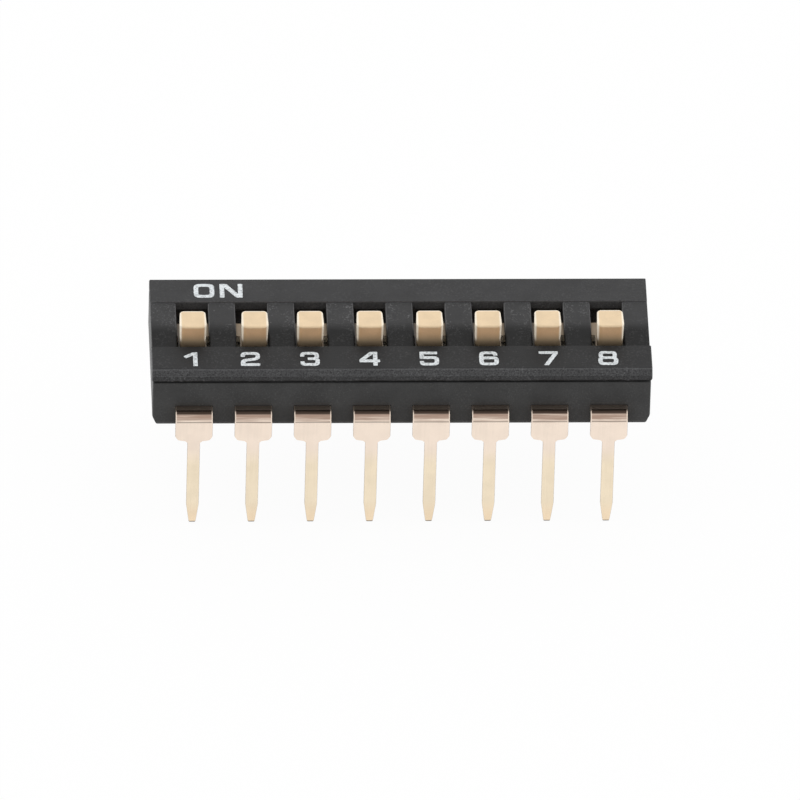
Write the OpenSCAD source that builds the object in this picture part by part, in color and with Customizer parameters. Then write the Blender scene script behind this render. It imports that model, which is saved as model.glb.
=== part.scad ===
// Slide DIP switch. A black cover is welded to a black base. Between them run the sliders, each
// with a knob that stands out of a slot in the cover and a bridging contact in its foot. Two rows
// of gold-plated leads are moulded into the base.
// X runs along the row, with way 1 at the left. -Y is the front, where a knob is off, and +Y is
// the back, where it is on. Z is up, and Z = 0 is at the tips of the leads.

/* [Row] */
// Number of ways
ways = 8; // [2:1:12]
// Spacing of the ways, and of the leads in a row
pitch = 2.54; // [2.3:0.01:3.2]
// Distance between the middle planes of the two rows of leads
row_spacing = 7.62; // [6.3:0.01:9.2]

/* [Cover] */
// Height of the cover above the parting line
cover_h = 0.6; // [0.55:0.01:0.75]
// From the middle of an outer way to the end of the front strip
end_margin = 1.83; // [1.7:0.01:2.2]
// How far the front strip runs out past the rest of the cover at each end
strip_proud = 0.05; // [0.02:0.01:0.2]
// From the cover's side to the middle plane of the leads
lead_offset = 0.46; // [0.38:0.01:0.56]
// Chamfer along the cover's top long edges
cover_chamfer = 0.25; // [0.1:0.01:0.3]
// How far the cover overhangs the base, front and back
overhang = 0.08; // [0.04:0.01:0.12]
// Height of the slope under the overhang
overhang_h = 0.14; // [0.05:0.01:0.2]
// Depth of the channel that the slots lie in
channel_depth = 0.08; // [0.03:0.01:0.12]
// Length of the slots, and width of the channel
slot_l = 3.13; // [2.6:0.01:3.8]
// Thickness of the cover between the slots
web_t = 0.35; // [0.28:0.01:0.4]

/* [Slider] */
// Width of a knob along the row
knob_w = 1.19; // [0.95:0.01:1.45]
// Depth of a knob, front to back
knob_d = 1.15; // [0.9:0.01:1.4]
// Height of a knob above the cover
knob_h = 0.94; // [0.7:0.01:1.2]
// Radius of a knob's upright edges
knob_round = 0.2; // [0.05:0.01:0.25]
// Chamfer around a knob's top
knob_chamfer = 0.1; // [0.03:0.01:0.12]
// Gap between a knob and the end of its slot, at both ends of its travel
knob_end_gap = 0.14; // [0.08:0.01:0.2]
// Clearance on each side of a knob in its slot
knob_clear = 0.095; // [0.05:0.005:0.12]
// How far a slider's foot runs out past its knob, front and back
foot_run = 0.9; // [0.7:0.01:1.05]
// Clearance on each side of a foot in its cell
foot_clear = 0.11; // [0.08:0.01:0.15]
// Gap between a foot and the end of its cell, at both ends of its travel
foot_end_gap = 0.08; // [0.05:0.01:0.15]
// Gap under a foot
foot_lift = 0.1; // [0.08:0.01:0.2]
// Gap between a foot and the cover
foot_top_gap = 0.03; // [0.02:0.01:0.06]
// Depth of the notches that leave a foot only as wide as its knob beside the knob
notch_depth = 0.4; // [0.2:0.01:0.45]
// Depth of the pocket under a foot, which holds the contact
pocket_depth = 0.83; // [0.7:0.01:0.9]

/* [Base] */
// Height of the base, from its underside to the parting line
base_h = 2.31; // [1.95:0.01:2.8]
// Chamfer along the base's lower long edges
base_chamfer = 0.06; // [0.03:0.01:0.15]
// Width of the slope at the foot of each end of the base
end_slope_w = 0.17; // [0.05:0.01:0.25]
// Height of the slope at the foot of each end of the base
end_slope_h = 0.42; // [0.2:0.01:0.6]
// Thickness of the walls between the cells
cell_wall = 0.58; // [0.45:0.01:0.7]
// Width of the welding tongue around the top of the base
tongue_w = 0.25; // [0.2:0.01:0.3]
// Height of the welding tongue
tongue_h = 0.15; // [0.1:0.01:0.2]
// From the base's side to the welding tongue
tongue_inset = 0.3; // [0.25:0.01:0.32]
// Clearance of the tongue in the cover's groove
tongue_clear = 0.02; // [0.01:0.01:0.05]

/* [Leads] */
// Thickness of the leads
lead_t = 0.25; // [0.2:0.01:0.3]
// From the base's underside to the top of a lead
lead_rise = 1.01; // [0.85:0.01:1.25]
// Inside radius of a lead's bend
bend_r = 0.2; // [0.15:0.01:0.24]
// Width of a lead at its shoulder
shoulder_w = 1.6; // [1.3:0.01:1.95]
// Height of the slope that ends a shoulder
shoulder_slope = 0.22; // [0.15:0.01:0.3]
// From the base's underside down to where the shoulders rest on a board
standoff = 0.4; // [0.32:0.01:0.5]
// Width of a lead's leg
leg_w = 0.54; // [0.44:0.01:0.66]
// Length of a leg below its shoulder
leg_l = 4.45; // [3.6:0.05:5.4]
// Width of a leg at its tip
tip_w = 0.28; // [0.2:0.01:0.34]
// Length of the taper that ends a leg
tip_l = 1; // [0.8:0.01:1.2]
// Depth that a tip is coined to on each face
tip_coin = 0.06; // [0.03:0.01:0.08]
// Width of a lead's contact pad
pad_w = 1.2; // [1:0.01:1.45]
// Length of full-width lead held in the base's wall
anchor_l = 0.4; // [0.3:0.01:0.55]
// How far a pad runs on past the contact point that it serves
pad_margin = 0.3; // [0.2:0.01:0.4]

/* [Contact] */
// Width of a bridging contact along the row
contact_w = 0.9; // [0.75:0.01:1.05]
// Thickness of a bridging contact
contact_t = 0.1; // [0.08:0.01:0.12]
// Distance between a contact's two points
contact_span = 1.8; // [1.6:0.01:2.1]
// Outside radius of a contact point
contact_r = 0.2; // [0.16:0.01:0.24]
// Length of the flat in the middle of a contact
contact_flat = 0.8; // [0.65:0.01:0.95]
// Gap between a contact point and its pad
contact_gap = 0.01; // [0.005:0.005:0.02]
// Clearance around a contact in its pocket
pocket_clear = 0.1; // [0.08:0.01:0.12]

/* [Hidden] */
$fn = 48;
// Where each slider lies in its side clearance at rest, from -1 at the left to 1 at the right
side_rest = [-0.3, 0.85, -0.85, -0.7, -0.5, -0.85, -0.7, 0.85];

cover_w = row_spacing - 2 * lead_offset;
cover_l = (ways - 1) * pitch + 2 * end_margin;
base_w = cover_w - 2 * overhang;
base_l = cover_l - 2 * strip_proud;

knob_travel = slot_l - knob_d - 2 * knob_end_gap;
slot_w = knob_w + 2 * knob_clear;
cell_w = pitch - cell_wall;
foot_w = cell_w - 2 * foot_clear;
foot_l = knob_d + 2 * foot_run;
cell_l = foot_l + knob_travel + 2 * foot_end_gap;

bottom_z = leg_l + standoff;
lead_z = bottom_z + lead_rise;
parting_z = bottom_z + base_h;
top_z = parting_z + cover_h;
roof_z = top_z - channel_depth - web_t;
foot_top_z = roof_z - foot_top_gap;
foot_low_z = lead_z + foot_lift;
knob_z = top_z + knob_h;

bend_out_r = bend_r + lead_t;
lead_face_y = row_spacing / 2 + lead_t / 2;
bend_y = lead_face_y - bend_out_r;
bend_z = lead_z - bend_out_r;
anchor_y = base_w / 2 - anchor_l;
// Where the front pads and the back pads end, so that a contact joins them only at the back
front_pad_y = knob_travel / 2 - contact_span / 2 + pad_margin;
back_pad_y = knob_travel / 2 + contact_span / 2 - pad_margin;

contact_reach = contact_span / 2 + contact_r;
contact_top_z = foot_low_z + pocket_depth;
// A notch ends above the roof of the pocket
notch_z = max(foot_top_z - notch_depth, contact_top_z + pocket_clear);

// How far a cutting shape reaches past the faces that it cuts through
over = 1;

function way_x(i) = (i - (ways + 1) / 2) * pitch;
function rest_x(i) = way_x(i) + side_rest[(i - 1) % len(side_rest)] * knob_clear;

// A Y-Z outline drawn out along X, centred on X = 0
module along_x(length) {
    rotate([90, 0, 90]) linear_extrude(length, center = true) children();
}

// An X-Z outline drawn out along Y, centred on Y = 0
module along_y(length) {
    rotate([90, 0, 0]) linear_extrude(length, center = true) children();
}

// A box centred on X and Y, from z0 up to z1
module slab(x, y, z0, z1) {
    translate([-x / 2, -y / 2, z0]) cube([x, y, z1 - z0]);
}

// The ring of the welding tongue, grown by a clearance on both sides
module tongue(clear, z0, z1) {
    outer_l = base_l - 2 * tongue_inset;
    outer_w = base_w - 2 * tongue_inset;
    difference() {
        slab(outer_l + 2 * clear, outer_w + 2 * clear, z0, z1);
        slab(outer_l - 2 * tongue_w - 2 * clear, outer_w - 2 * tongue_w - 2 * clear, z0 - over, z1 + over);
    }
}

// The cover's section, front to back
module cover_section() {
    polygon([
        [-base_w / 2, parting_z],
        [base_w / 2, parting_z],
        [cover_w / 2, parting_z + overhang_h],
        [cover_w / 2, top_z - cover_chamfer],
        [cover_w / 2 - cover_chamfer, top_z],
        [cover_chamfer - cover_w / 2, top_z],
        [-cover_w / 2, top_z - cover_chamfer],
        [-cover_w / 2, parting_z + overhang_h]
    ]);
}

// The front strip, which runs out past the rest of the cover at both ends
module front_strip() {
    intersection() {
        along_x(cover_l) cover_section();
        along_y(2 * cover_w) polygon([
            [-base_l / 2, parting_z],
            [base_l / 2, parting_z],
            [cover_l / 2, parting_z + overhang_h],
            [cover_l / 2, top_z],
            [-cover_l / 2, top_z],
            [-cover_l / 2, parting_z + overhang_h]
        ]);
        translate([0, -slot_l / 2 - cover_w / 2, 0]) slab(2 * cover_l, cover_w, parting_z, top_z);
    }
}

module cover() {
    color([0.19, 0.19, 0.2]) difference() {
        union() {
            along_x(base_l) cover_section();
            front_strip();
        }
        slab(cover_l + over, slot_l, top_z - channel_depth, top_z + over);
        for (i = [1:ways]) {
            translate([way_x(i), 0, 0]) {
                slab(slot_w, slot_l, parting_z - over, top_z + over);
                slab(cell_w, cell_l, parting_z - over, roof_z);
            }
        }
        tongue(tongue_clear, parting_z - over, parting_z + tongue_h + tongue_clear);
    }
}

// An outline of the base with its two lower corners cut off
module base_outline(width, cut_w, cut_h) {
    polygon([
        [cut_w - width / 2, bottom_z],
        [width / 2 - cut_w, bottom_z],
        [width / 2, bottom_z + cut_h],
        [width / 2, parting_z],
        [-width / 2, parting_z],
        [-width / 2, bottom_z + cut_h]
    ]);
}

module base() {
    color([0.2, 0.2, 0.21]) difference() {
        union() {
            intersection() {
                along_x(base_l) base_outline(base_w, base_chamfer, base_chamfer);
                along_y(base_w) base_outline(base_l, end_slope_w, end_slope_h);
            }
            tongue(0, parting_z, parting_z + tongue_h);
        }
        for (i = [1:ways]) {
            translate([way_x(i), 0, 0]) {
                slab(cell_w, cell_l, lead_z, parting_z + over);
                lead_flat(front_pad_y);
                mirror([0, 1, 0]) lead_flat(-back_pad_y);
            }
        }
    }
}

// The level stretch of a front lead, from its bend in to the end of its pad
module lead_flat(pad_y) {
    translate([-shoulder_w / 2, -bend_y, lead_z - lead_t]) cube([shoulder_w, bend_y - anchor_y, lead_t]);
    translate([-pad_w / 2, -anchor_y, lead_z - lead_t]) cube([pad_w, anchor_y + pad_y, lead_t]);
}

// The quarter turn between a lead's level stretch and its leg
module lead_bend() {
    along_x(shoulder_w) intersection() {
        translate([-bend_y, bend_z]) difference() {
            circle(bend_out_r);
            circle(bend_r);
        }
        translate([-bend_y - bend_out_r, bend_z]) square(bend_out_r);
    }
}

// The leg seen from the front, with its shoulder and its tapered tip
module leg_outline() {
    corner_w = shoulder_w - shoulder_slope;
    corner_z = leg_l + shoulder_slope / 4;
    neck_w = leg_w + shoulder_slope;
    neck_z = leg_l - shoulder_slope / 2;
    polygon([
        [shoulder_w / 2, bend_z],
        [shoulder_w / 2, leg_l + shoulder_slope],
        [corner_w / 2, corner_z],
        [neck_w / 2, leg_l],
        [leg_w / 2, neck_z],
        [leg_w / 2, tip_l],
        [tip_w / 2, 0],
        [-tip_w / 2, 0],
        [-leg_w / 2, tip_l],
        [-leg_w / 2, neck_z],
        [-neck_w / 2, leg_l],
        [-corner_w / 2, corner_z],
        [-shoulder_w / 2, leg_l + shoulder_slope],
        [-shoulder_w / 2, bend_z]
    ]);
}

// The leg seen from the end of the row, with its coined tip
module leg_side() {
    polygon([
        [-lead_t / 2, bend_z],
        [-lead_t / 2, 2 * tip_coin],
        [tip_coin - lead_t / 2, 0],
        [lead_t / 2 - tip_coin, 0],
        [lead_t / 2, 2 * tip_coin],
        [lead_t / 2, bend_z]
    ]);
}

// A front lead. A back lead is its mirror image, with a shorter pad.
module lead(pad_y) {
    color([0.93, 0.84, 0.66]) {
        lead_flat(pad_y);
        lead_bend();
        translate([0, -row_spacing / 2, 0]) intersection() {
            along_y(lead_t) leg_outline();
            along_x(shoulder_w) leg_side();
        }
    }
}

module front_lead(i) {
    translate([way_x(i), 0, 0]) lead(front_pad_y);
}

module back_lead(i) {
    translate([way_x(i), 0, 0]) mirror([0, 1, 0]) lead(-back_pad_y);
}

// A knob's outline from above, with round corners
module knob_outline() {
    square([knob_w - 2 * knob_round, knob_d], center = true);
    square([knob_w, knob_d - 2 * knob_round], center = true);
    for (x = [-1, 1], y = [-1, 1]) {
        translate([x * (knob_w / 2 - knob_round), y * (knob_d / 2 - knob_round)]) circle(knob_round);
    }
}

// A knob's outline from one side, with its two top corners cut off
module knob_side(width) {
    polygon([
        [-width / 2, foot_top_z],
        [width / 2, foot_top_z],
        [width / 2, knob_z - knob_chamfer],
        [width / 2 - knob_chamfer, knob_z],
        [knob_chamfer - width / 2, knob_z],
        [-width / 2, knob_z - knob_chamfer]
    ]);
}

module knob() {
    intersection() {
        translate([0, 0, foot_top_z]) linear_extrude(knob_z - foot_top_z) knob_outline();
        along_y(knob_d) knob_side(knob_w);
        along_x(knob_w) knob_side(knob_d);
    }
}

// What is cut from the top of a foot on both sides of its knob
module notches() {
    width = (foot_w - knob_w) / 2 + over;
    for (side = [-1, 1]) {
        translate([side * (knob_w + width) / 2, 0, 0]) slab(width, knob_d, notch_z, foot_top_z + over);
    }
}

// A slider at rest, at the front of its slot
module slider(i) {
    color([0.92, 0.8, 0.62]) translate([rest_x(i), -knob_travel / 2, 0]) {
        difference() {
            slab(foot_w, foot_l, foot_low_z, foot_top_z);
            slab(
                contact_w + 2 * pocket_clear,
                2 * (contact_reach + pocket_clear),
                foot_low_z - over,
                contact_top_z
            );
            notches();
        }
        knob();
    }
}

// A straight run of contact strip between two points of its middle line, with round ends
module strip(from, to) {
    run = to - from;
    heading = atan2(run[1], run[0]);
    translate(from) rotate(heading) translate([0, -contact_t / 2]) square([norm(run), contact_t]);
    translate(from) circle(contact_t / 2);
    translate(to) circle(contact_t / 2);
}

// One half of a contact from the side: the arm and the rounded point that rides on the pads
module contact_arm() {
    mid_r = contact_r - contact_t / 2;
    point_z = lead_z + contact_gap + contact_r;
    flat_z = contact_top_z - contact_t / 2;
    translate([contact_span / 2, point_z]) intersection() {
        difference() {
            circle(contact_r);
            circle(contact_r - contact_t);
        }
        translate([-contact_r, -contact_r]) square([2 * contact_r, contact_r]);
    }
    strip([contact_span / 2 - mid_r, point_z], [contact_flat / 2, flat_z]);
    strip([0, flat_z], [contact_flat / 2, flat_z]);
    translate([contact_span / 2 + mid_r, point_z]) circle(contact_t / 2);
}

// The bridging contact that a slider carries in its foot
module contact(i) {
    color([0.9, 0.75, 0.45]) translate([rest_x(i), -knob_travel / 2, 0]) along_x(contact_w) {
        contact_arm();
        mirror([1, 0]) contact_arm();
    }
}

cover();
base();
for (i = [1:ways]) {
    slider(i);
    contact(i);
    front_lead(i);
    back_lead(i);
}
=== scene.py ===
"""The looks of a slide DIP switch, modelled around its CAD frame.

The frame gives every place and every fitting size. What is set in the panel is the softness of the
moulded and stamped edges, the print, the colours of the finishes and the place of the camera.
"""

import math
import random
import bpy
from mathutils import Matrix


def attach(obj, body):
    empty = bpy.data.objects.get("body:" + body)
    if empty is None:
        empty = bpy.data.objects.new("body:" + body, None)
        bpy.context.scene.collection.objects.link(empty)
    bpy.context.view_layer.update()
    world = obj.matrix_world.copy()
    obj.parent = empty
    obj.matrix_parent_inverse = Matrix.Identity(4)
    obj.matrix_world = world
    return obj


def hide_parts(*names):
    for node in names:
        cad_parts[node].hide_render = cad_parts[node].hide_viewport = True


bl_info = {
    "name": "Slide DIP switch",
    "version": (1, 0, 0),
    "blender": (4, 5, 0),
    "location": "3D View > Sidebar > Switch",
    "description": "Models the looks of a slide DIP switch around its CAD frame",
    "category": "Add Mesh",
}

from types import SimpleNamespace

import bmesh
import bpy
from mathutils import Matrix, Vector

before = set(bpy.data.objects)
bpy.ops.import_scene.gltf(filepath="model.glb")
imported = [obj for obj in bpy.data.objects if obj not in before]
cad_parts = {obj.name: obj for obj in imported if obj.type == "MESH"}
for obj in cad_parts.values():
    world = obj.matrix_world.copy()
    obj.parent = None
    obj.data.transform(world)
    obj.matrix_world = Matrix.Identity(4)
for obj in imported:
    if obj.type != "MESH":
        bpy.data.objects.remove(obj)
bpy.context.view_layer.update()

X, Y, Z = range(3)
# Pieces are modelled in millimetres, a thousand times their size, and are shrunk when finished
MM = 1000
# Places closer than this are the same place
NEAR = 0.002
# Edges farther inside a piece's outline than this are inner edges
INNER = 0.1
# How far a cutting block reaches past the piece that it cuts
PAST = 1
# How deep a piece that is fused on is sunk in
SUNK = 0.1
RIGHT_ANGLE = math.pi / 2
# Faces that meet at less than this lie in one flat
FLAT_ANGLE = math.radians(0.5)
# Edges that stand out by more than this are ridges
RIDGE_ANGLE = math.radians(20)
# Faces that meet at less than this are shaded as one surface
SMOOTH_ANGLE = math.radians(35)
BEND_STEPS = 10
WAYS = range(1, 1 + sum(node.startswith("slider_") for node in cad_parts))
MIDDLE_WAY = len(WAYS) // 2
BLACK = (0, 0, 0, 1)
WHITE = (1, 1, 1, 1)


# ---------------------------------------------------------------- sizes read from the frame


def corners(node):
    """The corners of a CAD node, in millimetres."""
    return [v.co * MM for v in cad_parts[node].data.vertices]


def box_of(points):
    """The lowest and the highest corner of some points."""
    return (
        Vector(min(p[axis] for p in points) for axis in (X, Y, Z)),
        Vector(max(p[axis] for p in points) for axis in (X, Y, Z)),
    )


def levels(points, axis):
    """The places along an axis where points lie, from low to high."""
    places = []
    for value in sorted(p[axis] for p in points):
        if not places or value - places[-1] > NEAR:
            places.append(value)
    return places


def middle_x(node):
    """The middle of a CAD node along X, in millimetres."""
    low, high = box_of(corners(node))
    return (low.x + high.x) / 2


def way_x(way):
    """The middle of a way, which is the middle of its leads."""
    return middle_x(f"front_lead_{way}")


def pitch():
    """How far apart the ways lie."""
    return way_x(2) - way_x(1)


def around_middle_way(node):
    """The corners of a node that lie closer to the middle way than to another, counted from its middle."""
    middle = Vector((way_x(MIDDLE_WAY), 0, 0))
    reach = pitch() / 2 - NEAR
    return [p - middle for p in corners(node) if abs(p.x - middle.x) < reach]


def opening(node, height):
    """The lowest and the highest corner of a way's opening in a node, at a height, from the way's middle."""
    return box_of([p for p in around_middle_way(node) if abs(p.z - height) < NEAR])


def cover_levels():
    """The heights of the cover's steps from low to high, read at its ends, where all of them show."""
    reach = box_of(corners("base"))[1].x - NEAR
    return levels([p for p in corners("cover") if abs(p.x) > reach], Z)


def panel_sizes():
    """The sizes set in the panel, in millimetres."""
    group = bpy.context.scene.switch_sizes
    names = [p.identifier for p in group.bl_rna.properties if p.type == "FLOAT"]
    return SimpleNamespace(**{name: getattr(group, name) * MM for name in names})


# ---------------------------------------------------------------- modelling as by hand


def to_object_mode():
    """Leaves edit mode and deselects everything."""
    if bpy.context.mode != "OBJECT":
        bpy.ops.object.mode_set(mode="OBJECT")
    bpy.ops.object.select_all(action="DESELECT")


def use(piece):
    """Makes a piece the only selected object, and the active one."""
    to_object_mode()
    piece.select_set(True)
    bpy.context.view_layer.objects.active = piece


def add_block(name, low, high):
    """Adds a cube primitive at its size and place, and starts to edit it."""
    to_object_mode()
    low, high = Vector(low), Vector(high)
    bpy.ops.mesh.primitive_cube_add(size=1, location=(low + high) / 2, scale=high - low)
    piece = bpy.context.object
    piece.name = piece.data.name = name
    bpy.ops.object.transform_apply(location=True, rotation=True, scale=True)
    bpy.ops.object.mode_set(mode="EDIT")
    return piece


def corners_of(item):
    """The corners of a face or an edge as points, or of a vertex, the vertex itself."""
    return [v.co for v in item.verts] if hasattr(item, "verts") else [item.co]


def lies_at(item, axis, value):
    """True if all of a face, an edge or a vertex lies at a value along an axis."""
    return all(abs(p[axis] - value) < NEAR for p in corners_of(item))


def lies_within(item, low, high):
    """True if all of a face, an edge or a vertex lies in a box."""
    return all(
        low[a] - NEAR < p[a] < high[a] + NEAR for p in corners_of(item) for a in (X, Y, Z)
    )


def lies_outside(item, reach):
    """True if a face, an edge or a vertex is at the outer walls of a piece, at a reach from the middle."""
    return any(
        abs(p.x) > reach.x - INNER or abs(p.y) > reach.y - INNER for p in corners_of(item)
    )


def turned_to(face, axis, side=1):
    """True for a face that is turned to one side along an axis."""
    return face.normal[axis] * side > 0.9


def pick(kind, test):
    """Selects the faces, edges or vertices of the edited piece that pass a test, and nothing else."""
    bpy.ops.mesh.select_mode(type=kind)
    bpy.ops.mesh.select_all(action="DESELECT")
    mesh = bpy.context.edit_object.data
    shape = bmesh.from_edit_mesh(mesh)
    items = {"FACE": shape.faces, "EDGE": shape.edges, "VERT": shape.verts}[kind]
    found = [item for item in items if test(item)]
    if not found:
        raise RuntimeError(f"nothing to pick on {bpy.context.edit_object.name}")
    for item in found:
        item.select_set(True)
    shape.select_flush_mode()
    bmesh.update_edit_mesh(mesh)


def slice_at(axis, value):
    """Cuts new edges around the edited piece, where it crosses a value along an axis."""
    place, direction = Vector((0, 0, 0)), Vector((0, 0, 0))
    place[axis], direction[axis] = value, 1
    bpy.ops.mesh.select_all(action="SELECT")
    bpy.ops.mesh.bisect(plane_co=place, plane_no=direction)


def extrude(*shift):
    """Extrudes what is picked and moves it."""
    bpy.ops.mesh.extrude_region_move(TRANSFORM_OT_translate={"value": shift})


def stretch(x=1, y=1, z=1, about=(0, 0, 0)):
    """Scales what is picked about a point."""
    bpy.ops.transform.resize(value=(x, y, z), center_override=about)


def bevel(width, segments=1):
    """Bevels the picked edges, in one flat or rounded in segments."""
    bpy.ops.mesh.bevel(
        offset=width, segments=segments, affect="EDGES", clamp_overlap=False
    )


def tidy():
    """Merges the edited piece's doubles and turns its faces outwards."""
    bpy.ops.mesh.select_all(action="SELECT")
    bpy.ops.mesh.remove_doubles(threshold=NEAR / 4)
    bpy.ops.mesh.dissolve_degenerate(threshold=NEAR / 4)
    bpy.ops.mesh.normals_make_consistent(inside=False)


def apply_modifier(piece, kind, **settings):
    """Adds a modifier to a piece, sets it and applies it."""
    use(piece)
    bpy.ops.object.modifier_add(type=kind)
    modifier = piece.modifiers[-1]
    for name, value in settings.items():
        setattr(modifier, name, value)
    bpy.ops.object.modifier_apply(modifier=modifier.name)


def combine(piece, tool, operation):
    """Cuts a tool out of a piece, or fuses it on, and removes the tool."""
    to_object_mode()
    apply_modifier(piece, "BOOLEAN", operation=operation, object=tool, solver="EXACT")
    bpy.data.objects.remove(tool)


def copy_of(piece, name, shift):
    """A copy of a piece, with its own mesh, moved."""
    use(piece)
    bpy.ops.object.duplicate(linked=False)
    copy = bpy.context.object
    copy.name = copy.data.name = name
    bpy.ops.transform.translate(value=shift)
    bpy.ops.object.transform_apply(location=True, rotation=True, scale=True)
    return copy


def along_ways(tool):
    """Repeats a tool that was made at x = 0 at every way, as one object."""
    pieces = [copy_of(tool, f"{tool.name}_{way}", (way_x(way), 0, 0)) for way in WAYS]
    bpy.data.objects.remove(tool)
    use(pieces[0])
    for piece in pieces:
        piece.select_set(True)
    bpy.ops.object.join()
    return pieces[0]


def shade(piece):
    """Smooths a piece's rounded edges and keeps its flats flat."""
    use(piece)
    bpy.ops.object.shade_smooth_by_angle(angle=SMOOTH_ANGLE)
    apply_modifier(piece, "WEIGHTED_NORMAL", keep_sharp=True, weight=100)


def finish(piece, body, material, nodes=(), slot=None):
    """Shrinks a piece to its real size, paints it and lets it ride on a body in place of CAD nodes."""
    use(piece)
    bpy.ops.transform.resize(value=(1 / MM,) * 3, center_override=(0, 0, 0))
    bpy.ops.object.transform_apply(location=True, rotation=True, scale=True)
    piece.data.materials.clear()
    piece.data.materials.append(material)
    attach(piece, body)
    if nodes:
        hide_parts(*nodes)
    to_object_mode()


# ---------------------------------------------------------------- the pieces


def ring(name, outer, inner, low, high):
    """A rectangular ring, from a block whose middle is cut through."""
    piece = add_block(name, (-outer.x, -outer.y, low), (outer.x, outer.y, high))
    pick("FACE", lambda f: turned_to(f, Z) or turned_to(f, Z, -1))
    bpy.ops.mesh.inset(thickness=outer.x - inner.x, use_individual=True)
    bpy.ops.mesh.bridge_edge_loops()
    tidy()
    return piece


def is_ridge(edge):
    """True for an edge that stands out between two faces."""
    return edge.is_manifold and edge.calc_face_angle_signed() > RIDGE_ANGLE


def soften(piece, width, test, segments=2):
    """Rounds the ridges of a piece that pass a test."""
    use(piece)
    bpy.ops.object.mode_set(mode="EDIT")
    pick("EDGE", lambda e: is_ridge(e) and test(e))
    bevel(width, segments)
    to_object_mode()


def clean_flats(piece):
    """Merges what a cut left doubled, and drops the edges that cross flat faces."""
    use(piece)
    bpy.ops.object.mode_set(mode="EDIT")
    tidy()
    bpy.ops.mesh.dissolve_limited(angle_limit=FLAT_ANGLE)
    to_object_mode()


def model_cover(material):
    """The cover: a low block with a channel along it, and under that a hollow and a slot for each way."""
    size = panel_sizes()
    points = corners("cover")
    low, high = box_of(points)
    parting, overhang, chamfer, channel, top = cover_levels()
    foot = box_of([p for p in points if abs(p.z - parting) < NEAR])[1]
    roof = levels(around_middle_way("cover"), Z)[1]
    slot, cell = opening("cover", channel), opening("cover", roof)
    groove = [p for p in points if way_x(len(WAYS)) + cell[1].x + NEAR < p.x < foot.x - NEAR]
    groove_low, groove_high = box_of([Vector((p.x, abs(p.y), p.z)) for p in groove])

    cover = add_block("cover_shell", (-foot.x, low.y, low.z), (foot.x, high.y, high.z))
    slice_at(Z, overhang)
    pick("VERT", lambda v: lies_at(v, Z, parting))
    stretch(y=foot.y / high.y)
    slice_at(Y, slot[0].y)
    for side in (-1, 1):
        pick("FACE", lambda f: turned_to(f, X, side) and f.calc_center_median().y < slot[0].y)
        extrude(side * (high.x - foot.x), 0, 0)
    pick("VERT", lambda v: lies_at(v, Z, parting) and abs(v.co.x) > foot.x + NEAR)
    stretch(x=foot.x / high.x)
    tidy()
    pick("EDGE", lambda e: lies_at(e, Z, top) and (lies_at(e, Y, high.y) or lies_at(e, Y, low.y)))
    bevel(top - chamfer)

    tool = add_block("channel", (low.x - PAST, slot[0].y, channel), (high.x + PAST, slot[1].y, top + PAST))
    combine(cover, tool, "DIFFERENCE")
    tool = add_block("slots", (*slot[0].xy, roof - PAST), (*slot[1].xy, top + PAST))
    combine(cover, along_ways(tool), "DIFFERENCE")
    tool = add_block("hollows", (*cell[0].xy, parting - PAST), (*cell[1].xy, roof))
    combine(cover, along_ways(tool), "DIFFERENCE")
    tool = ring("groove", groove_high.xy, groove_low.xy, parting - PAST, groove_high.z)
    combine(cover, tool, "DIFFERENCE")
    clean_flats(cover)

    def rims_a_slot(edge):
        within = lies_within(edge, (low.x, slot[0].y, channel), (high.x, slot[1].y, channel))
        return within and not lies_at(edge, X, foot.x) and not lies_at(edge, X, -foot.x)

    def shows(edge):
        return edge.verts[0].co.z > channel - size.slot_edge / 2 or lies_outside(edge, foot)

    soften(cover, size.slot_edge, rims_a_slot)
    soften(cover, size.cover_edge, shows)
    shade(cover)
    finish(cover, "housing", material, ["cover"], "cover_plastic")


def model_base(material):
    """The base: a block sloped at the foot of its ends, with a cell for each way and a slit for each lead."""
    size = panel_sizes()
    points = corners("base")
    low, high = box_of(points)
    front = [p for p in points if abs(p.y - low.y) < NEAR]
    chamfer, parting = min(p.z for p in front), max(p.z for p in front)
    slope = min(p.z for p in points if abs(p.x - high.x) < NEAR)
    foot = box_of([p for p in points if abs(p.z - low.z) < NEAR])[1]
    tongue = [Vector((abs(p.x), abs(p.y), p.z)) for p in points if p.z > parting + NEAR]
    tongue_low, tongue_high = box_of(tongue)
    cell = opening("base", parting)

    base = add_block("base_shell", low, (high.x, high.y, parting - size.seam_height))
    slice_at(Z, slope)
    pick("VERT", lambda v: lies_at(v, Z, low.z))
    stretch(x=foot.x / high.x)
    pick("EDGE", lambda e: lies_at(e, Z, low.z) and (lies_at(e, Y, high.y) or lies_at(e, Y, low.y)))
    bevel(chamfer - low.z)
    pick("FACE", lambda f: turned_to(f, Z))
    bpy.ops.mesh.inset(thickness=size.seam_depth)
    extrude(0, 0, size.seam_height)
    tool = ring("tongue", tongue_high.xy, tongue_low.xy, parting - SUNK, high.z)
    combine(base, tool, "UNION")
    lead = lead_sizes("front_lead_1")
    tool = add_block("cells", (*cell[0].xy, lead.top), (*cell[1].xy, parting + PAST))
    combine(base, along_ways(tool), "DIFFERENCE")
    for row in ("front", "back"):
        cut_for_leads(base, lead_sizes(f"{row}_lead_1"), high.y + PAST, size.lead_gap)
    clean_flats(base)

    def shows(edge):
        by_lead = lead.under - INNER < edge.verts[0].co.z < lead.top + INNER
        return lies_outside(edge, high) and not by_lead

    soften(base, size.base_edge, shows, 3)
    shade(base)
    finish(base, "housing", material, ["base"], "base_plastic")


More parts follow.
